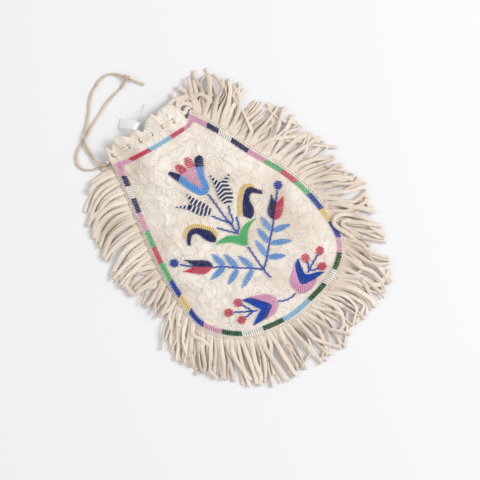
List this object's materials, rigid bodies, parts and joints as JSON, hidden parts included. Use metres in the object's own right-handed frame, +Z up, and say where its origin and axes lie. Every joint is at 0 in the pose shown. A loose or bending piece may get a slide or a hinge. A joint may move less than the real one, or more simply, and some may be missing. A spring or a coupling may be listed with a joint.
{
  "type": "beaded medicine bag",
  "caption": "Tongue-shaped hide pouch with a floral beadwork front, a beaded border lane, a long cut fringe round its edge and a hide drawstring at its scalloped mouth",
  "frame": {"origin": "on the table under the middle of the pouch, where the mount back_rest is", "axes": "+Z up off the back panel through the front, +Y towards the mouth, +X to the right as seen from the front"},
  "size_m": [0.2677, 0.3616, 0.0158],
  "materials": {
    "beads_blue": "glossy opaque",
    "beads_dark_green": "glossy opaque",
    "beads_green": "glossy opaque",
    "beads_light_blue": "glossy opaque",
    "beads_navy": "glossy opaque",
    "beads_pink": "glossy opaque",
    "beads_red": "glossy opaque",
    "beads_royal": "glossy opaque",
    "beads_white": "glossy opaque",
    "beads_yellow": "glossy opaque",
    "hide_drawstring": "matte",
    "hide_fringe": "matte",
    "hide_panels": "matte",
    "paper": "matte",
    "thread": "matte"
  },
  "bodies": {
    "root": {"back_panel": "hide_panels", "bell_left": "beads_navy", "bell_right": "beads_navy", "berries_left": "beads_red", "berries_right": "beads_red", "branches": "beads_blue", "bud_left": "beads_navy", "bud_right": "beads_navy", "calyx": "beads_green", "curl_left": "beads_navy", "curl_right": "beads_navy", "drawstring_knot": "hide_drawstring", "drawstring_lacing": "hide_drawstring", "drawstring_long_strand": "hide_drawstring", "drawstring_short_strand": "hide_drawstring", "flower_inner_petals": "beads_pink", "flower_outer_petals": "beads_blue", "fringe": "hide_fringe", "front_panel": "hide_panels", "hanging_flower_left": "beads_pink", "hanging_flower_right": "beads_pink", "lane_01_pink": "beads_pink", "lane_02_navy": "beads_navy", "lane_03_white": "beads_white", "lane_04_navy": "beads_navy", "lane_05_pink": "beads_pink", "lane_06_green": "beads_green", "lane_07_red": "beads_red", "lane_08_green": "beads_green", "lane_09_royal": "beads_royal", "lane_10_yellow": "beads_yellow", "lane_11_royal": "beads_royal", "lane_12_pink": "beads_pink", "lane_13_dark_green": "beads_dark_green", "lane_14_white": "beads_white", "lane_15_dark_green": "beads_dark_green", "lane_16_light_blue": "beads_light_blue", "lane_17_dark_green": "beads_dark_green", "lane_18_white": "beads_white", "lane_19_dark_green": "beads_dark_green", "lane_20_pink": "beads_pink", "lane_21_royal": "beads_royal", "lane_22_yellow": "beads_yellow", "lane_23_royal": "beads_royal", "lane_24_green": "beads_green", "lane_25_red": "beads_red", "lane_26_green": "beads_green", "lane_27_pink": "beads_pink", "lane_28_navy": "beads_navy", "lane_29_white": "beads_white", "lane_30_navy": "beads_navy", "lane_31_pink": "beads_pink", "lane_32_red": "beads_red", "lane_33_light_blue": "beads_light_blue", "lane_34_red": "beads_red", "paper_tag": "paper", "tag_thread": "thread", "upper_stems": "beads_navy"}
  },
  "joints": []
}
